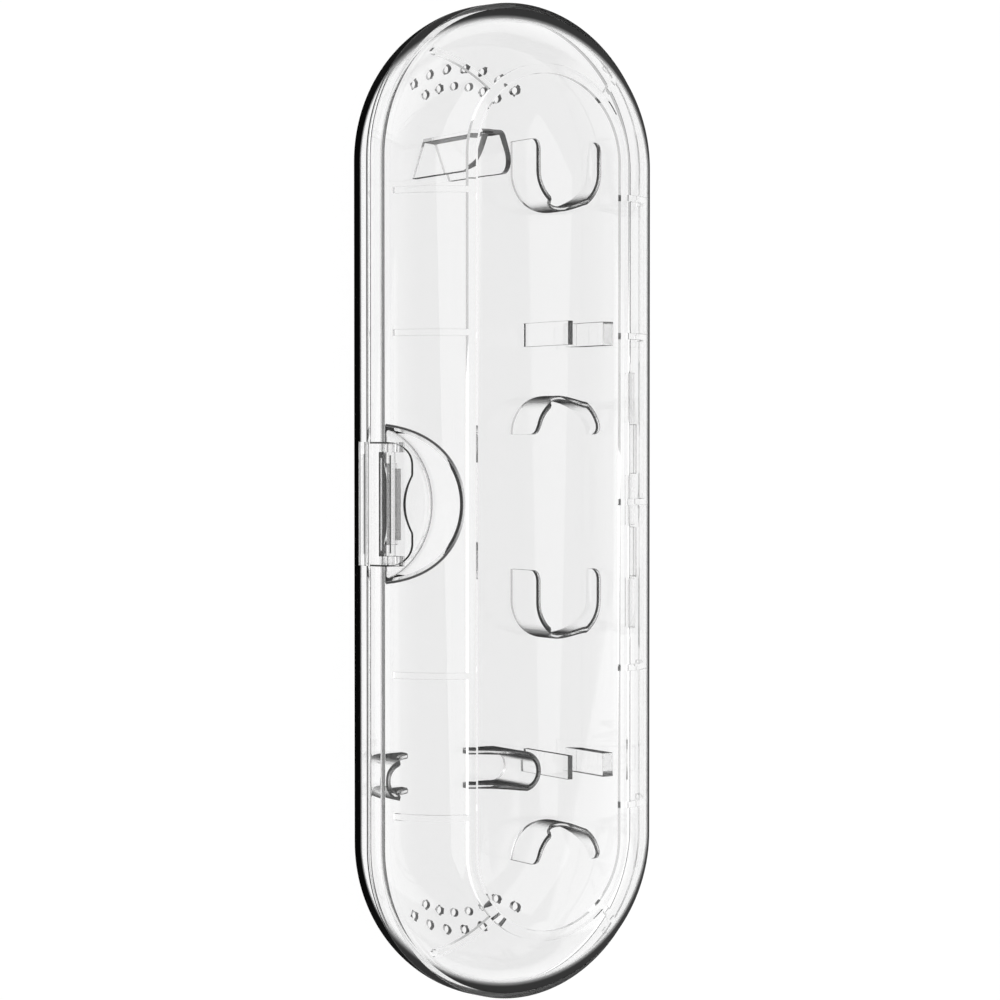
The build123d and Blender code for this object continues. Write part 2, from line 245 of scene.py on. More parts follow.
def finished(piece, node, body, materials, edge=0.0, which=None, crease=32):
    """Shades a piece smooth up to its creases, softens its edges, and lets it stand for its node.
    which gives the number of each face's material. Softened edges take the last material."""
    mesh = piece.data
    mesh.polygons.foreach_set("use_smooth", np.ones(len(mesh.polygons), bool))
    mesh.set_sharp_from_angle(angle=math.radians(crease))
    mesh.materials.clear()
    for material in materials:
        mesh.materials.append(material)
    numbers = np.zeros(len(mesh.polygons), int) if which is None else which
    mesh.polygons.foreach_set("material_index", numbers.astype(np.int32))
    if edge:
        soft = piece.modifiers.new("soft_edges", "BEVEL")
        soft.width = edge * MM
        soft.segments = 3
        soft.limit_method = "ANGLE"
        soft.angle_limit = math.radians(40)
        soft.harden_normals = False
        soft.material = len(materials) - 1
    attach(piece, body)
    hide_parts(node)
    return piece


# ---------------------------------------------------------------- materials
CLEAR_IOR = 1.49
POLISH_ROUGHNESS = 0.03
# The roughness added where painted shade darkens a wall.
PAINTED_SHADE_ROUGHNESS = 0.6

# The shares of a wall's direction at which it counts as steep or level, and as facing across or
# along the case, which place the painted grey shade of level walls and the two painted dark shades.
STEEP, LEVEL = 0.15, 0.5
ACROSS, ALONG = 0.2, 0.8


def worked_out(tree, operation, *values, kind="ShaderNodeMath", result="Value"):
    """The result of a math node whose inputs are other results or plain numbers, in order."""
    step = tree.nodes.new(kind)
    step.operation = operation
    for socket, value in zip(step.inputs, values):
        if isinstance(value, bpy.types.NodeSocket):
            tree.links.new(value, socket)
        else:
            socket.default_value = value
    return step.outputs[result]


def ranged(tree, value, low, high, to_low, to_high):
    """A value carried smoothly from one range to another, and held at its ends."""
    step = tree.nodes.new("ShaderNodeMapRange")
    step.interpolation_type = "SMOOTHSTEP"
    tree.links.new(value, step.inputs["Value"])
    step.inputs["From Min"].default_value = low
    step.inputs["From Max"].default_value = high
    step.inputs["To Min"].default_value = to_low
    step.inputs["To Max"].default_value = to_high
    return step.outputs["Result"]


def noise(tree, place, scale, detail):
    """Plain noise over a piece's own coordinates."""
    grain = tree.nodes.new("ShaderNodeTexNoise")
    grain.inputs["Scale"].default_value = scale
    grain.inputs["Detail"].default_value = detail
    tree.links.new(place, grain.inputs["Vector"])
    return grain.outputs["Fac"]


def flow_ripple(tree, place, strength):
    """The faint ripple that the flow of the moulding leaves, drawn out along the case."""
    flow = tree.nodes.new("ShaderNodeMapping")
    flow.inputs["Scale"].default_value = (1.0, 0.25, 1.0)
    tree.links.new(place, flow.inputs["Vector"])
    bump = tree.nodes.new("ShaderNodeBump")
    bump.inputs["Strength"].default_value = strength
    bump.inputs["Distance"].default_value = 0.4 * MM
    tree.links.new(noise(tree, flow.outputs["Vector"], 45.0, 1.0), bump.inputs["Height"])
    return bump.outputs["Normal"]


def painted_pocket_shade(tree, place):
    """Painted shade on the upright wall round the finger pocket, standing for how dark it shows when
    seen down its length from above: a narrow ring about the pocket's axis, above the ledge, that is
    palest where it comes nearest to the middle of the case."""
    starts, full, thins, stops = 18.0 * MM, 18.2 * MM, 18.5 * MM, 18.7 * MM
    ledge_low, ledge_high = 26.1 * MM, 26.3 * MM
    pale_to, dark_from = 1.0 * MM, 12.0 * MM
    vector_math = "ShaderNodeVectorMath"
    flat = worked_out(tree, "MULTIPLY", place, (1, 1, 0), kind=vector_math, result="Vector")
    gap = worked_out(tree, "DISTANCE", flat, (POCKET_X * MM, 0, 0), kind=vector_math)
    inner = ranged(tree, gap, starts, full, 0.0, 1.0)
    outer = ranged(tree, gap, thins, stops, 1.0, 0.0)
    spot = tree.nodes.new("ShaderNodeSeparateXYZ")
    tree.links.new(place, spot.inputs[0])
    aside = worked_out(tree, "ABSOLUTE", spot.outputs["Y"])
    darkness = ranged(tree, aside, pale_to, dark_from, 0.35, 0.95)
    above = ranged(tree, spot.outputs["Z"], ledge_low, ledge_high, 0.0, 1.0)
    ring = worked_out(tree, "MULTIPLY", worked_out(tree, "MULTIPLY", inner, outer), above)
    return worked_out(tree, "MULTIPLY", ring, darkness)


def clear_moulding(name, painted_level_shade, clear_to, dark_from, dark, dark_end, ends=0.0, ripple=0.05, pocket_shade=False):
    """Clear moulded plastic with painted shade. A wall seen edge-on bends light aside, so painted
    shade turns it from clear to dark between two shares of edge-on, and walls that face along the
    case count as more edge-on by the share ends. Level walls get a painted grey shade of the given
    strength, and steep ones have none. The dark is one shade, or another where a wall faces along
    the case. Dark walls are also rougher, let no light through and bend it less, so that they
    don't glare. Where asked, a narrow painted dark line of shade runs round the finger pocket."""
    material = bpy.data.materials.new(name)
    material.use_nodes = True
    tree = material.node_tree
    shader = tree.nodes["Principled BSDF"]
    shader.inputs["IOR"].default_value = CLEAR_IOR
    coordinates = tree.nodes.new("ShaderNodeTexCoord")
    place = coordinates.outputs["Object"]
    facing = tree.nodes.new("ShaderNodeLayerWeight")
    facing.inputs["Blend"].default_value = 0.5
    normal = tree.nodes.new("ShaderNodeSeparateXYZ")
    tree.links.new(coordinates.outputs["Normal"], normal.inputs[0])
    lengthwise = worked_out(tree, "ABSOLUTE", normal.outputs["Y"])
    upward = worked_out(tree, "ABSOLUTE", normal.outputs["Z"])
    edge_on = worked_out(tree, "MULTIPLY_ADD", lengthwise, ends, facing.outputs["Facing"])
    # Painted shade: how dark the wall is painted as it turns edge-on.
    painted_edge_on_shade = ranged(tree, edge_on, clear_to, dark_from, 0.0, 1.0)
    # The painted ring of shade round the finger pocket.
    if pocket_shade:
        painted_edge_on_shade = worked_out(tree, "MAXIMUM", painted_edge_on_shade, painted_pocket_shade(tree, place))
    colour = tree.nodes.new("ShaderNodeMix")
    colour.data_type = "RGBA"
    tree.links.new(painted_edge_on_shade, colour.inputs["Factor"])
    # Level walls get a painted grey shade, steep ones stay white.
    tree.links.new(ranged(tree, upward, STEEP, LEVEL, 1.0, painted_level_shade), colour.inputs["A"])
    tree.links.new(ranged(tree, lengthwise, ACROSS, ALONG, dark, dark_end), colour.inputs["B"])
    polish = ranged(tree, noise(tree, place, 140.0, 3.0), 0.0, 1.0, 0.0, POLISH_ROUGHNESS)
    rough = worked_out(tree, "MULTIPLY_ADD", painted_edge_on_shade, PAINTED_SHADE_ROUGHNESS, polish)
    tree.links.new(flow_ripple(tree, place, ripple), shader.inputs["Normal"])
    tree.links.new(colour.outputs["Result"], shader.inputs["Base Color"])
    tree.links.new(rough, shader.inputs["Roughness"])
    tree.links.new(ranged(tree, painted_edge_on_shade, 0.0, 1.0, 1.0, 0.0), shader.inputs["Transmission Weight"])
    tree.links.new(ranged(tree, painted_edge_on_shade, 0.3, 1.0, CLEAR_IOR, 1.0), shader.inputs["IOR"])
    return material


def even_moulding(name, shade, through=1.0, rough=0.02):
    """The same plastic in one grey all over: painted shade for edges, near black on sharp ones and
    grey on broad ones, where little light comes back, and white for a frosted rim. through is the
    share of light that goes into it."""
    material = bpy.data.materials.new(name)
    material.use_nodes = True
    shader = material.node_tree.nodes["Principled BSDF"]
    shader.inputs["IOR"].default_value = CLEAR_IOR
    shader.inputs["Base Color"].default_value = (shade, shade, shade, 1)
    shader.inputs["Transmission Weight"].default_value = through
    shader.inputs["Roughness"].default_value = rough
    shader.inputs["Specular IOR Level"].default_value = 0.3
    return material


clear_base = clear_moulding(
    "clear_base_moulding", painted_level_shade=0.93, clear_to=0.58, dark_from=0.66, dark=0.004, dark_end=0.015
)
clear_inside = clear_moulding(
    "clear_base_inside", painted_level_shade=0.96, clear_to=0.90, dark_from=1.0, dark=0.3, dark_end=0.3
)
clear_lid = clear_moulding(
    "clear_lid_moulding", painted_level_shade=0.93, clear_to=0.66, dark_from=0.86, dark=0.06, dark_end=0.05,
    ends=0.26, pocket_shade=True,
)
clear_ribs = clear_moulding(
    "clear_lid_inside", painted_level_shade=0.96, clear_to=0.90, dark_from=1.0, dark=0.3, dark_end=0.3
)
clear_holder = clear_moulding(
    "clear_holder_moulding", painted_level_shade=0.98, clear_to=0.55, dark_from=0.85, dark=0.01, dark_end=0.01, ripple=0.03
)
clear_latch = clear_moulding(
    "clear_latch_moulding", painted_level_shade=0.98, clear_to=0.60, dark_from=0.92, dark=0.05, dark_end=0.05, ripple=0.03
)
# The two edge materials are painted shade: near black and grey plastic where the case shows dark lines.
painted_dark_edge = even_moulding("painted_shade_sharp_edge", 0.006, through=0.4)
painted_grey_edge = even_moulding("painted_shade_broad_edge", 0.14)
pale_rim = even_moulding("frosted_rim", 1.0, rough=0.8)

# The numbers of the materials in a shell's list, and in the latch's or a holder's. The edge, dark
# and grey ones are painted shade.
OUTSIDE, INSIDE, SHADED_EDGE, RIM = range(4)
CLEAR, PAINTED_DARK, PAINTED_GREY = range(3)


# ---------------------------------------------------------------- hinge
KNUCKLE_LENGTH = 12.0
KNUCKLE_GAP = 0.4
KNUCKLE_COUNT = 5
BARREL = 1.4
RELIEF = 1.6
WEB_ROOT_X = 35.65
WEB_REACH = 3.4
HINGE_HALF = KNUCKLE_COUNT * KNUCKLE_LENGTH / 2
BASE_KNUCKLES = (0, 2, 4)
LID_KNUCKLES = (1, 3)


def knuckle_low(index):
    """The lowest Y of a hinge knuckle, counted from the -Y end."""
    return (index - KNUCKLE_COUNT / 2) * KNUCKLE_LENGTH


def add_knuckles(piece, indices, up):
    """Barrels on the hinge line, each tied by a web to the wall above (up is 1) or below (-1).
    The web's two corners by the barrel lie within the other half's relief, so they clear it."""
    web = [
        (WEB_ROOT_X, PARTING_Z),
        (HINGE_X, PARTING_Z),
        (HINGE_X + BARREL * 0.9, PARTING_Z + up * 0.4),
        (HINGE_X + BARREL * 0.45, PARTING_Z + up * BARREL * 0.95),
        (HALF_WIDTH, PARTING_Z + up * WEB_REACH),
        (WEB_ROOT_X, PARTING_Z + up * WEB_REACH),
    ]
    for index in indices:
        low = knuckle_low(index) + KNUCKLE_GAP / 2
        high = low + KNUCKLE_LENGTH - KNUCKLE_GAP
        barrel = rod("barrel", BARREL, HINGE_X, PARTING_Z, low, high, chamfer=0.15, steps=48)
        combine(piece, slab("web", web, low + SHORT_OF_END, high - SHORT_OF_END), "UNION")
        combine(piece, barrel, "UNION")


def cut_reliefs(piece, indices):
    """Clears the rim round the barrels that belong to the other half."""
    for index in indices:
        low = knuckle_low(index)
        combine(piece, rod("relief", RELIEF, HINGE_X, PARTING_Z, low, low + KNUCKLE_LENGTH), "DIFFERENCE")


def bore_hinge(piece):
    """Cuts the hole for the hinge pin through a half's knuckles."""
    reach = HINGE_HALF + 2
    combine(piece, rod("bore", PIN + RUNNING_GAP, HINGE_X, PARTING_Z, -reach, reach), "DIFFERENCE")


# ---------------------------------------------------------------- faces of the shells
def capsule_reach(points):
    """How far points lie from the middle line of the case, seen from above."""
    along = points[:, 1] - np.clip(points[:, 1], -END_Y, END_Y)
    return np.hypot(points[:, 0], along)


def shell_side(points, round_z, radius, half_width):
    """Whether points lie on the outer or the inner side of a shell: their distance from the line
    about which its edge is rounded is more or less than the middle radius of the wall."""
    out = np.maximum(capsule_reach(points) - (half_width - radius), 0)
    return np.where(np.hypot(out, points[:, 2] - round_z) > radius - WALL / 2, OUTSIDE, INSIDE)


def hinge_faces(points):
    """Whether points lie on a knuckle, its web or a relief, rather than on the shell's own wall."""
    past_wall = capsule_reach(points) > HALF_WIDTH + NEAR
    by_barrel = np.hypot(points[:, 0] - HINGE_X, points[:, 2] - PARTING_Z) < RELIEF + 0.05
    by_hinge = (np.abs(points[:, 1]) < HINGE_HALF + 0.5) & (points[:, 0] > WEB_ROOT_X - WALL)
    return by_hinge & (past_wall | by_barrel)


# ---------------------------------------------------------------- base
RIM_ROUND = 0.3
RIM_INNER_ROUND = 0.1
RIM_DEPTH = 0.35
VENT_RADIUS = 0.95
VENT_STEP = 11.8
VENT_CIRCLES = ((24.1, 7), (20.1, 6))
VENT_TOP_Z = 12.0
CATCH_HALF = 11.0

base_profile = soften([
    (0, 0, 0),
    (HALF_WIDTH, 0, BASE_ROUND),
    (HALF_WIDTH, PARTING_Z - SEAM, RIM_ROUND),
    (HALF_WIDTH - WALL, PARTING_Z - SEAM, RIM_INNER_ROUND),
    (HALF_WIDTH - WALL, WALL, BASE_ROUND - WALL),
    (0, WALL, 0),
])
base_moulding = capsule_sweep("base_moulding", base_profile)

vent_spots = []
for end in (1, -1):
    for circle, count in VENT_CIRCLES:
        for step in range(count):
            turn = math.radians(90 * end + VENT_STEP * (step - (count - 1) / 2))
            vent_spots.append((circle * math.cos(turn), end * END_Y + circle * math.sin(turn), 0))
vent_profile = np.array([(0, -2), (VENT_RADIUS, -2), (VENT_RADIUS, VENT_TOP_Z), (0, VENT_TOP_Z)], float)
vents = [turned("vent", vent_profile, spot, "Z", 32) for spot in vent_spots]
combine(base_moulding, joined("vents", vents), "DIFFERENCE")
cut_reliefs(base_moulding, LID_KNUCKLES)
add_knuckles(base_moulding, BASE_KNUCKLES, -1)
bore_hinge(base_moulding)

# The catch for the latch, across the case, with its two outer edges cut back.
catch = [(-36.6, 20.25), (-36.55, 20.2), (-35.8, 20.2), (-35.8, 20.68), (-36.55, 20.68), (-36.6, 20.62)]
combine(base_moulding, slab("catch", catch, -CATCH_HALF, CATCH_HALF), "UNION")


def base_face_numbers(piece):
    """The base's materials: the walls of its vents and the outer corner of its rim get a painted dark
    shade, the flat of the rim is pale, and the hinge is as clear as the inside."""
    spots = face_centres(piece)
    reach = capsule_reach(spots)
    numbers = shell_side(spots, BASE_ROUND, BASE_ROUND, HALF_WIDTH)
    off_wall = [np.abs(np.hypot(spots[:, 0] - x, spots[:, 1] - y) - VENT_RADIUS) for x, y, _ in vent_spots]
    numbers[(np.min(off_wall, axis=0) < 2 * NEAR) & (spots[:, 2] < VENT_TOP_Z)] = SHADED_EDGE
    rim = spots[:, 2] > PARTING_Z - RIM_DEPTH
    numbers[rim & (reach < HALF_WIDTH - RIM_ROUND)] = RIM
    numbers[rim & (reach > HALF_WIDTH - RIM_ROUND) & (reach < HALF_WIDTH + NEAR)] = SHADED_EDGE
    numbers[hinge_faces(spots)] = INSIDE
    return numbers


base_faces = base_face_numbers(base_moulding)
base_materials = [clear_base, clear_inside, painted_dark_edge, pale_rim]
finished(base_moulding, "base_shell", "base", base_materials, which=base_faces, crease=12)

pin_half = HINGE_HALF - 0.2
hinge_rod = rod("hinge_rod", PIN, HINGE_X, PARTING_Z, -pin_half, pin_half, chamfer=0.2, steps=40)
finished(hinge_rod, "hinge_pin", "base", [clear_ribs])


# ---------------------------------------------------------------- lid
LEDGE_OUT = 36.02
LEDGE_ROUND = 0.05
LID_CORNER = 0.12
LID_INNER_CORNER = 0.05
DOME_CENTRE = (DOME_HALF_WIDTH - DOME_ROUND, TOP_Z - DOME_ROUND)
INNER_ROUND = DOME_ROUND - WALL
RIB_HEIGHT = 1.0
RIB_ROOT = 0.7
RIB_HALF = 0.7
RIB_CLIMB = (78.0, 20.3)
RIB_POINTS = 40
CROSS_RIB_YS = (68.6, 37.5, -37.5, -68.6)
CORNER_RIB_ANGLES = (45, 135, 225, 315)
POCKET_RADIUS = 17.5
POCKET_CORNER = 1.5
POCKET_FLOOR_Z = LEDGE_Z + 0.01
POCKET_STEPS = 256
OVER_LID_Z = 45.0
BOSS_RADIUS = 1.2
BOSS_HALF = 8.9
BOSS_FOOT_Z = 25.3

ledge_angle = math.degrees(math.asin((LEDGE_Z - DOME_CENTRE[1]) / DOME_ROUND))
dome_outside = np.concatenate([[(0, TOP_Z)], arc_points(DOME_CENTRE, DOME_ROUND, 90, ledge_angle, 40)])
band = soften([
    (DOME_CENTRE[0] + DOME_ROUND * math.cos(math.radians(ledge_angle)), LEDGE_Z, 0),
    (LEDGE_OUT, LEDGE_Z, LEDGE_ROUND),
    (HALF_WIDTH, PARTING_Z + SEAM, LID_CORNER),
    (DOME_HALF_WIDTH - WALL, PARTING_Z + SEAM, LID_INNER_CORNER),
    (DOME_HALF_WIDTH - WALL, DOME_CENTRE[1], 0),
])
dome_inside = np.concatenate([arc_points(DOME_CENTRE, INNER_ROUND, 0, 90, 48), [(0, TOP_Z - WALL)]])
lid_moulding = capsule_sweep("lid_moulding", np.concatenate([dome_outside, band[1:-1], dome_inside]))


def lid_rib(name, centre_y, angle):
    """A rib that follows the inside of the dome from the ring down to the band: its cross-section
    is a small box between two arcs about the dome's own centre, turned about the end centre."""
    climb = np.radians(np.linspace(*RIB_CLIMB, RIB_POINTS))[:, None]
    tip = INNER_ROUND - RIB_HEIGHT
    root = INNER_ROUND + RIB_ROOT
    depth = np.array([tip, tip, root, root])
    side = np.array([-RIB_HALF, RIB_HALF, RIB_HALF, -RIB_HALF])
    reach = DOME_CENTRE[0] + depth * np.cos(climb)
    height = DOME_CENTRE[1] + depth * np.sin(climb)
    side = np.broadcast_to(side, reach.shape)
    turn = math.radians(angle)
    x = reach * math.cos(turn) - side * math.sin(turn)
    y = centre_y + reach * math.sin(turn) + side * math.cos(turn)
    points = np.stack([x, y, height], axis=-1).reshape(-1, 3)
    last = len(points)
    return closed_object(name, points, grid_faces(RIB_POINTS, 4), [range(4), range(last - 4, last)])


rib_places = [(rib_y, angle) for rib_y in CROSS_RIB_YS for angle in (0, 180)]
rib_places += [(0, 0)]
rib_places += [(END_Y if angle < 180 else -END_Y, angle) for angle in CORNER_RIB_ANGLES]
for rib_y, angle in rib_places:
    combine(lid_moulding, lid_rib("rib", rib_y, angle), "UNION")

# The ring under the flat top joins the heads of the ribs, and stands in as far as they do.
ring_profile = np.array([(18.9, 37.53), (21.0, 37.08), (21.0, 38.8), (18.9, 39.1)])
combine(lid_moulding, capsule_sweep("ring", ring_profile, closed_profile=True), "UNION")

# The pocket's liner is a turned block trimmed to the lid's outside, and the pocket hollows it.
pocket_axis = (POCKET_X, 0, 0)
body_foot = [(36.0, LEDGE_Z - 3), (0, LEDGE_Z - 3)]
lid_body = capsule_sweep("lid_body", np.concatenate([dome_outside, band[1:3], body_foot]))
liner_radius = POCKET_RADIUS + WALL
liner_z = LEDGE_Z - WALL
liner_top = [(liner_radius, OVER_LID_Z), (0, OVER_LID_Z)]
liner_profile = np.array([(0, liner_z), (liner_radius, liner_z), *liner_top])
liner = combine(turned("liner", liner_profile, pocket_axis, "Z", POCKET_STEPS), lid_body, "INTERSECT")
combine(lid_moulding, liner, "UNION")
pocket_profile = soften([
    (0, POCKET_FLOOR_Z, 0),
    (POCKET_RADIUS, POCKET_FLOOR_Z, POCKET_CORNER),
    (POCKET_RADIUS, OVER_LID_Z, 0),
    (0, OVER_LID_Z, 0),
])
combine(lid_moulding, turned("pocket", pocket_profile, pocket_axis, "Z", POCKET_STEPS), "DIFFERENCE")

pin_x, pin_z = LATCH_PIN
boss_low, boss_high = pin_x - BOSS_RADIUS, pin_x + BOSS_RADIUS
boss_foot = [(boss_low, BOSS_FOOT_Z), (boss_high, BOSS_FOOT_Z), (boss_high, pin_z), (boss_low, pin_z)]
foot_half = BOSS_HALF - SHORT_OF_END
combine(lid_moulding, slab("boss_foot", boss_foot, -foot_half, foot_half), "UNION")
combine(lid_moulding, rod("boss", BOSS_RADIUS, pin_x, pin_z, -BOSS_HALF, BOSS_HALF, chamfer=0.1), "UNION")
combine(lid_moulding, rod("boss_bore", PIN + RUNNING_GAP, pin_x, pin_z, -12, 12), "DIFFERENCE")
cut_reliefs(lid_moulding, BASE_KNUCKLES)
add_knuckles(lid_moulding, LID_KNUCKLES, 1)
bore_hinge(lid_moulding)


def lid_face_numbers(piece):
    """The lid's materials: the outer corner at its joint gets a painted dark shade, and the hinge is
    as clear as the inside."""
    spots = face_centres(piece)
    reach = capsule_reach(spots)
    numbers = shell_side(spots, DOME_CENTRE[1], DOME_ROUND, DOME_HALF_WIDTH)
    at_wall = (reach > HALF_WIDTH - LID_CORNER) & (reach < HALF_WIDTH + NEAR)
    numbers[at_wall & (spots[:, 2] < PARTING_Z + SEAM + LID_CORNER)] = SHADED_EDGE
    numbers[hinge_faces(spots)] = INSIDE
    return numbers


lid_faces = lid_face_numbers(lid_moulding)
lid_materials = [clear_lid, clear_ribs, painted_dark_edge]
finished(lid_moulding, "lid_shell", "lid", lid_materials, which=lid_faces, crease=12)

latch_rod = rod("latch_rod", PIN, pin_x, pin_z, -13.0, 13.0, chamfer=0.15, steps=40)
finished(latch_rod, "latch_pin", "lid", [clear_latch])


# ---------------------------------------------------------------- latch
BEND = (-28.8, 24.5)
PLATE_OUTER = 9.0
PLATE_INNER = 8.1
PLATE_HALF = 13.6
PLATE_CORNER = 5.0
PLATE_TIP_X = -31.8
PLATE_STATIONS = 81
PLATE_POINTS = 29
PAINTED_DARK_SIDE_Y = 13.25
DIP_DEPTH = 1.5
DIP_RADIUS = 14.0
HOOK_TIP_X = -36.7
HOOK_LOW_Z = 19.6
HOOK_HIGH_Z = 20.1
LEVER_RIB_REACH = 7.8
LEVER_RIB_ROOT = 8.3
CHEEK_RADIUS = 1.45
CHEEK_THICKNESS = 2.2
CHEEK_OUT = 13.55
LEVER_PLAY = 0.05


def latch_plate(name):
    """A plate bent about one line: for each station along Y the outer and inner faces climb the
    leg and then their arcs, up to the free edge, whose reach follows rounded corners and the dip
    for a finger. The loop closes over the hook at the foot. The free edge and the strips along
    the two sides get a painted dark shade."""
    y = PLATE_HALF * np.sin(np.linspace(-math.pi / 2, math.pi / 2, PLATE_STATIONS))
    from_corner = np.clip(np.abs(y) - (PLATE_HALF - PLATE_CORNER), 0, PLATE_CORNER)
    tip = PLATE_TIP_X - (PLATE_CORNER - np.sqrt(PLATE_CORNER**2 - from_corner**2))
    dip_bow = np.sqrt(DIP_RADIUS**2 - np.minimum(y**2, DIP_RADIUS**2))
    tip = np.minimum(tip, PLATE_TIP_X - DIP_DEPTH + DIP_RADIUS - dip_bow)[:, None]
    share = np.linspace(0, 1, PLATE_POINTS)
    sides = []
    for radius in (PLATE_OUTER, PLATE_INNER):
        stop = np.arccos(np.clip((tip - BEND[0]) / radius, -1, 1))
        angle = math.pi + (stop - math.pi) * share
        sides.append((BEND[0] + radius * np.cos(angle), BEND[1] + radius * np.sin(angle)))
    (outer_x, outer_z), (inner_x, inner_z) = sides
    one = np.ones_like(tip)
    leg_x = BEND[0] - PLATE_OUTER
    leg_inner_x = BEND[0] - PLATE_INNER
    hook_x = [leg_inner_x * one, HOOK_TIP_X * one, HOOK_TIP_X * one]
    hook_z = [HOOK_HIGH_Z * one, HOOK_HIGH_Z * one, HOOK_LOW_Z * one]
    x = np.hstack([leg_x * one, outer_x, inner_x[:, ::-1], *hook_x])
    z = np.hstack([HOOK_LOW_Z * one, outer_z, inner_z[:, ::-1], *hook_z])
    across = np.broadcast_to(y[:, None], x.shape)
    points = np.stack([x, across, z], axis=-1).reshape(-1, 3)
    loop = x.shape[1]
    last = len(points)
    numbers = np.full((len(y) - 1, loop), CLEAR)
    numbers[:, PLATE_POINTS - 1:PLATE_POINTS + 1] = PAINTED_DARK
    numbers[np.abs(y[1:] + y[:-1]) / 2 > PAINTED_DARK_SIDE_Y, 1:PLATE_POINTS] = PAINTED_DARK
    caps = [range(loop), range(last - loop, last)]
    return closed_object(name, points, grid_faces(len(y), loop), caps, np.append(numbers, [CLEAR, CLEAR]))


def lever_rib(name, angle, half, low, high, number):
    """A small rib along Y on the inner side of the plate, at an angle about the bend."""
    turn = math.radians(angle)
    out = np.array([math.cos(turn), math.sin(turn)])
    side = np.array([-out[1], out[0]]) * half
    root = out * LEVER_RIB_ROOT
    reach = out * LEVER_RIB_REACH
    corners = np.array([root - side, root + side, reach + side, reach - side])
    rib = slab(name, corners + np.array(BEND), low, high)
    number_faces(rib.data, np.full(len(rib.data.polygons), number))
    return rib


latch_lever = latch_plate("latch_lever")
cheek = np.concatenate([
    arc_points(LATCH_PIN, CHEEK_RADIUS, 0, -180, 20),
    arc_points(BEND, (PLATE_OUTER + PLATE_INNER) / 2, 158.0, 135.4, 8),
    [(-32.55, 30.5)],
])
for low in (-CHEEK_OUT, CHEEK_OUT - CHEEK_THICKNESS):
    combine(latch_lever, slab("cheek", cheek, low, low + CHEEK_THICKNESS), "UNION")

# Three thin ribs, two short blocks and a flat bar, which carry painted dark and grey shade:
# angle about the bend, half the width, the two ends, and the material.
for rib in (
    (163.0, 0.1, -11.4, 11.4, PAINTED_DARK),
    (156.5, 0.1, -11.4, 11.4, PAINTED_DARK),
    (144.0, 0.1, -10.7, 10.7, PAINTED_DARK),
    (159.8, 0.35, -11.4, -10.1, PAINTED_DARK),
    (159.8, 0.35, 10.1, 11.4, PAINTED_DARK),
    (132.0, 0.62, -7.8, 7.8, PAINTED_GREY),
):
    combine(latch_lever, lever_rib("lever_rib", *rib), "UNION")
combine(latch_lever, rod("latch_bore", PIN + LEVER_PLAY, pin_x, pin_z, -15, 15), "DIFFERENCE")
latch_faces = face_numbers(latch_lever)
latch_materials = [clear_latch, painted_dark_edge, painted_grey_edge]
finished(latch_lever, "latch_flap", "latch", latch_materials, which=latch_faces)


# ---------------------------------------------------------------- holders
FOOT_Z = 0.5
FLOOR_GAP = 0.015
OVER_BASE_Z = 60
RIM_FLAT = 0.4
SHARPEST_TURN = 0.3
HOLDER_BOW = 8.5
HOLDER_WALL = 1.2
HOLDER_RIM_Z = 12.7
TIP_ROUND = 2.5
CUP_DEPTH = 16.4
CROWN_TO_MIDDLE = HOLDER_BOW + HOLDER_WALL / 2
NOTCH_RADIUS = 5.0
NOTCH_Z = 13.2
NOTCH_LENGTH = 4.5
BOW_POINTS = 65
ARM_POINTS = 16
ARCH_OFFSET = 43.2
CLIP_OFFSET = 28.9
CLIP_HALF = 2.75
CLIP_TOP_Z = 20.2
CLIP_GAP = 8.5
CLIP_PLATE = 1.3
CLIP_BLOCK = 3.0
CUP_CROWNS = {"upper": 67.7, "lower": -32.7}


def inside_base(piece):
    """Trims a holder to the hollow of the base, a hair clear of its surface."""
    floor_z = WALL + FLOOR_GAP
    side_x = HALF_WIDTH - floor_z
    hollow = soften([
        (0, floor_z, 0),
        (side_x, floor_z, BASE_ROUND - floor_z),
        (side_x, OVER_BASE_Z, 0),
        (0, OVER_BASE_Z, 0),
    ])
    return combine(piece, capsule_sweep("hollow", hollow), "INTERSECT")


def standing_wall(name, path, thickness, rim):
    """A thin wall standing on the floor: the path gives its middle line in plan, half the
    thickness goes to each side of it, and rim(x, y) gives the height of its top, whose two
    edges are cut back by small flats that get a painted dark shade."""
    ahead = np.roll(path, -1, axis=0) - path
    behind = path - np.roll(path, 1, axis=0)
    ahead[-1] = behind[-1]
    behind[0] = ahead[0]
    ahead /= np.linalg.norm(ahead, axis=1)[:, None]
    behind /= np.linalg.norm(behind, axis=1)[:, None]
    along = ahead + behind
    along /= np.linalg.norm(along, axis=1)[:, None]
    widen = 1 / np.maximum((along * ahead).sum(axis=1), SHARPEST_TURN)
    outward = np.stack([along[:, 1], -along[:, 0]], axis=-1) * widen[:, None] * thickness / 2
    inset = outward * (1 - 2 * RIM_FLAT / thickness)
    foot = np.full(len(path), FOOT_Z)
    rings = [path + outward, path + outward, path + inset, path - inset, path - outward, path - outward]
    drops = [None, RIM_FLAT, 0.0, 0.0, RIM_FLAT, None]
    levels = [foot if drop is None else rim(*ring.T) - drop for ring, drop in zip(rings, drops)]
    points = np.stack([np.column_stack([ring, level]) for ring, level in zip(rings, levels)], axis=1)
    count = len(rings)
    faces = grid_faces(len(path), count)
    caps = [range(count), range(count * len(path) - count, count * len(path))]
    numbers = np.tile([CLEAR, PAINTED_DARK, CLEAR, PAINTED_DARK, CLEAR, CLEAR], len(path) - 1)
    return closed_object(name, points.reshape(-1, 3), faces, caps, np.append(numbers, [CLEAR, CLEAR]))


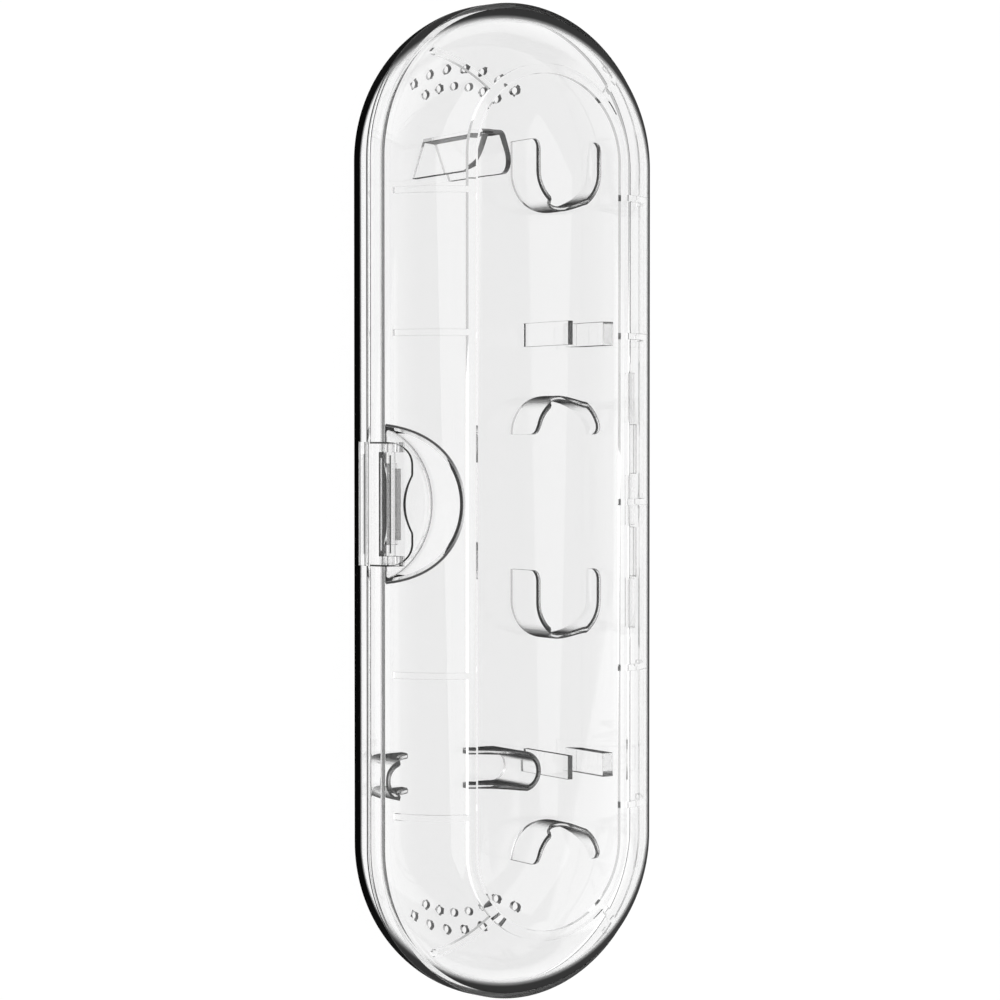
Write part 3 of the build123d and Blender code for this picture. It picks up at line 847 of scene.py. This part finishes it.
def holder_rim(crown_y, tip_y):
    """The rim of a brush head holder: level, rounded down at the tips of its arms, and dipped
    by a round notch at its crown, where the neck of the head lies."""
    def rim(x, y):
        short = TIP_ROUND - np.clip(np.abs(tip_y - y), 0, TIP_ROUND)
        level = HOLDER_RIM_Z - (TIP_ROUND - np.sqrt(TIP_ROUND**2 - short**2))
        aside = x - HOLDER_X
        notch = NOTCH_Z - np.sqrt(np.maximum(NOTCH_RADIUS**2 - aside**2, 0))
        by_crown = (np.abs(aside) < NOTCH_RADIUS) & (np.abs(y - crown_y) < NOTCH_LENGTH)
        return np.where(by_crown & (notch < level), notch, level)
    return rim


def cup_path(crown_y, way, arm=0.0):
    """The middle line of a holder: up one arm, round the half circle at the crown, and back
    down the other arm. The arms point to +Y (way is 1) or to -Y (-1)."""
    middle_y = crown_y + way * CROWN_TO_MIDDLE
    turn = math.pi + np.linspace(0, math.pi, BOW_POINTS)
    bow_x = HOLDER_X + HOLDER_BOW * np.cos(turn)
    bow = np.stack([bow_x, middle_y + way * HOLDER_BOW * np.sin(turn)], axis=-1)
    if not arm:
        return bow
    run = np.sin(np.linspace(math.pi / 2, 0, ARM_POINTS))[:-1, None] * arm
    left = np.hstack([np.full_like(run, HOLDER_X - HOLDER_BOW), middle_y + way * run])
    right = np.hstack([np.full_like(run, HOLDER_X + HOLDER_BOW), middle_y + way * run])[::-1]
    return np.concatenate([left, bow, right])


def clip_side(name, low_x, width, middle_y):
    """One side of the neck clip: a small upright plate along the case."""
    high_x = low_x + width
    low_y, high_y = middle_y - CLIP_HALF, middle_y + CLIP_HALF
    outline = [(low_x, low_y), (high_x, low_y), (high_x, high_y), (low_x, high_y)]
    return slab(name, outline, FOOT_Z, CLIP_TOP_Z, along="Z")


def holder(piece, node, edge=0.0, edge_material=painted_dark_edge):
    """Finishes a holder: its walls are clear, and its sharp edges get painted shade, dark unless another
    edge material is given.
    """
    inside_base(piece)
    materials = [clear_holder, edge_material]
    finished(piece, node, "base", materials, edge=edge, which=face_numbers(piece))


for place, crown_y in CUP_CROWNS.items():
    cup_line = cup_path(crown_y, 1, CUP_DEPTH - CROWN_TO_MIDDLE)
    cup_rim = holder_rim(crown_y, crown_y + CUP_DEPTH)
    holder(standing_wall(f"head_cup_{place}", cup_line, HOLDER_WALL, cup_rim), f"brush_cup_{place}")
    arch_y = crown_y - ARCH_OFFSET
    arch_rim = holder_rim(arch_y, arch_y - CROWN_TO_MIDDLE)
    arch = standing_wall(f"head_arch_{place}", cup_path(arch_y, -1), HOLDER_WALL, arch_rim)
    holder(arch, f"brush_arch_{place}")
    clip_y = crown_y - CLIP_OFFSET
    plate_x = HOLDER_X - CLIP_GAP / 2 - CLIP_PLATE
    plate = clip_side(f"neck_plate_{place}", plate_x, CLIP_PLATE, clip_y)
    holder(plate, f"clip_plate_{place}", edge=0.2)
    block = clip_side(f"neck_block_{place}", HOLDER_X + CLIP_GAP / 2, CLIP_BLOCK, clip_y)
    holder(block, f"clip_block_{place}", edge=0.2, edge_material=painted_grey_edge)


# ---------------------------------------------------------------- handle supports
CRADLE_Y = -62.4
CRADLE_REACH = 20.65
CRADLE_HALF = 4.65
CRADLE_WALL = 1.3
CRADLE_RIM_Z = 15.7
HORN_START = 8.5
HORN_BOW_POINTS = 49
HORN_RUN_POINTS = 25
SADDLE_RADIUS = 17.3
SADDLE_Z = 19.3


def horn_path(side):
    """One end of the long ring across the case: in along one wall, round the end, and back."""
    radius = CRADLE_HALF - CRADLE_WALL / 2
    end_x = HANDLE_X + side * (CRADLE_REACH - CRADLE_HALF)
    turn = np.radians(np.linspace(-90, 90, HORN_BOW_POINTS))
    bow = np.stack([end_x + side * radius * np.cos(turn), CRADLE_Y + radius * np.sin(turn)], axis=-1)
    run = np.linspace(HANDLE_X + side * HORN_START, end_x, HORN_RUN_POINTS)[:-1, None]
    front = np.hstack([run, np.full_like(run, CRADLE_Y - radius)])
    back = np.hstack([run, np.full_like(run, CRADLE_Y + radius)])[::-1]
    return np.concatenate([front, bow, back])


def saddle_rim(x, y):
    """The cradle's rim: level, and cut down by the round saddle that the handle lies in."""
    aside = x - HANDLE_X
    saddle = SADDLE_Z - np.sqrt(np.maximum(SADDLE_RADIUS**2 - aside**2, 0))
    return np.where(np.abs(aside) < SADDLE_RADIUS, np.minimum(saddle, CRADLE_RIM_Z), CRADLE_RIM_Z)


for hand, side in (("left", -1), ("right", 1)):
    holder(standing_wall(f"saddle_{hand}", horn_path(side), CRADLE_WALL, saddle_rim), f"cradle_{hand}")

# The stop for the handle's foot: tapered walls in plan, hollowed from the mouth, and trimmed to
# its side view, whose upper corners are round.
stop_walls = [(-13.4, 74.0), (-10.3, 83.4), (-5.3, 83.4), (-2.2, 74.0)]
stop_hollow = [(-12.2, 74.0), (-9.1, 82.2), (-6.5, 82.2), (-3.4, 74.0), (-3.4, 70.0), (-12.2, 70.0)]
stop_side = soften([(73.95, FOOT_Z, 0), (73.95, 27.6, 5.0), (83.45, 27.6, 1.5), (83.45, FOOT_Z, 0)])
foot_stop = slab("foot_stop", stop_walls, FOOT_Z, 28, along="Z")
combine(foot_stop, slab("stop_side", stop_side, -16, 0, along="X"), "INTERSECT")
combine(foot_stop, slab("stop_hollow", stop_hollow, -1, 30, along="Z"), "DIFFERENCE")
holder(foot_stop, "handle_stop", edge=0.25)


# ---------------------------------------------------------------- floor, light, camera
FLOOR_HALF = 3000.0
FLOOR_Z = -0.6
AIM = (0, 0, 0.02)


def pale_floor():
    """A wide white floor that keeps a light shadow of what stands on it."""
    plan = np.array([(-1, -1), (1, -1), (1, 1), (-1, 1)]) * FLOOR_HALF
    corners = np.column_stack([plan, np.full(4, FLOOR_Z)])
    mesh = bpy.data.meshes.new("floor")
    mesh.from_pydata((corners * MM).tolist(), [], [(0, 1, 2, 3)])
    floor = bpy.data.objects.new("floor", mesh)
    bpy.context.scene.collection.objects.link(floor)
    material = bpy.data.materials.new("pale_floor")
    material.use_nodes = True
    tree = material.node_tree
    tree.nodes.clear()
    out = tree.nodes.new("ShaderNodeOutputMaterial")
    plain = tree.nodes.new("ShaderNodeBsdfDiffuse")
    plain.inputs["Color"].default_value = (0.9, 0.9, 0.9, 1)
    shadow = tree.nodes.new("ShaderNodeBsdfDiffuse")
    shadow.inputs["Color"].default_value = (0.06, 0.06, 0.06, 1)
    glow = tree.nodes.new("ShaderNodeEmission")
    glow.inputs["Strength"].default_value = 0.975
    seen = tree.nodes.new("ShaderNodeAddShader")
    tree.links.new(shadow.outputs[0], seen.inputs[0])
    tree.links.new(glow.outputs[0], seen.inputs[1])
    rays = tree.nodes.new("ShaderNodeLightPath").outputs
    shown = worked_out(tree, "MAXIMUM", rays["Is Camera Ray"], rays["Is Transmission Ray"])
    shown = worked_out(tree, "MAXIMUM", shown, rays["Is Glossy Ray"])
    pick = tree.nodes.new("ShaderNodeMixShader")
    tree.links.new(shown, pick.inputs["Fac"])
    tree.links.new(plain.outputs[0], pick.inputs[1])
    tree.links.new(seen.outputs[0], pick.inputs[2])
    tree.links.new(pick.outputs[0], out.inputs["Surface"])
    mesh.materials.append(material)


def soft_lamp(name, place, size, power):
    """A large square lamp at a place in metres, aimed at the case."""
    light = bpy.data.lights.new(name, "AREA")
    light.shape = "SQUARE"
    light.size = size
    light.energy = power
    lamp = bpy.data.objects.new(name, light)
    lamp.location = place
    lamp.rotation_euler = (Vector(AIM) - Vector(place)).to_track_quat("-Z", "Y").to_euler()
    bpy.context.scene.collection.objects.link(lamp)


def studio_world():
    """A grey room: white where the camera looks straight at it, darker overhead."""
    world = bpy.data.worlds.new("studio")
    bpy.context.scene.world = world
    world.use_nodes = True
    tree = world.node_tree
    tree.nodes.clear()
    out = tree.nodes.new("ShaderNodeOutputWorld")
    rays = tree.nodes.new("ShaderNodeLightPath")
    white = tree.nodes.new("ShaderNodeBackground")
    white.inputs["Color"].default_value = (1, 1, 1, 1)
    white.inputs["Strength"].default_value = 1.0
    room = tree.nodes.new("ShaderNodeBackground")
    place = tree.nodes.new("ShaderNodeTexCoord")
    split = tree.nodes.new("ShaderNodeSeparateXYZ")
    tree.links.new(place.outputs["Generated"], split.inputs[0])
    height = tree.nodes.new("ShaderNodeValToRGB")
    low, high = height.color_ramp.elements
    low.position, low.color = 0.02, (0.9, 0.9, 0.9, 1)
    high.position, high.color = 0.35, (0.55, 0.55, 0.55, 1)
    tree.links.new(split.outputs["Z"], height.inputs["Fac"])
    tree.links.new(height.outputs["Color"], room.inputs["Color"])
    pick = tree.nodes.new("ShaderNodeMixShader")
    tree.links.new(rays.outputs["Is Camera Ray"], pick.inputs["Fac"])
    tree.links.new(room.outputs[0], pick.inputs[1])
    tree.links.new(white.outputs[0], pick.inputs[2])
    tree.links.new(pick.outputs[0], out.inputs["Surface"])


def camera_at(lean_degrees, tilt_degrees, distance):
    """A camera over the latch side, leaning that far from straight above and tilted towards +Y,
    that looks at the case: its right, up and backward directions and its place are columns."""
    data = bpy.data.cameras.new("camera")
    data.sensor_width = 36.0
    data.lens = 101.77
    data.shift_x = -0.0043
    data.shift_y = 0.0018
    data.clip_start = 0.01
    data.clip_end = 20.0
    lean = math.radians(lean_degrees)
    tilt = math.radians(tilt_degrees)
    right = Vector((math.cos(lean), 0, math.sin(lean)))
    up = Vector((math.sin(lean) * math.sin(tilt), math.cos(tilt), -math.cos(lean) * math.sin(tilt)))
    away = Vector((-math.sin(lean) * math.cos(tilt), math.sin(tilt), math.cos(lean) * math.cos(tilt)))
    place = Vector(AIM) + away * distance
    camera = bpy.data.objects.new("camera", data)
    camera.matrix_world = Matrix((
        (right.x, up.x, away.x, place.x),
        (right.y, up.y, away.y, place.y),
        (right.z, up.z, away.z, place.z),
        (0, 0, 0, 1),
    ))
    bpy.context.scene.collection.objects.link(camera)
    bpy.context.scene.camera = camera


pale_floor()
studio_world()
soft_lamp("lamp_overhead", (-0.25, 0.25, 1.3), 1.2, 4.0)
soft_lamp("lamp_side", (0.9, -0.3, 0.7), 0.8, 1.6)
camera_at(32.6, 1.18, 0.643)
bpy.context.scene.view_settings.view_transform = "Standard"
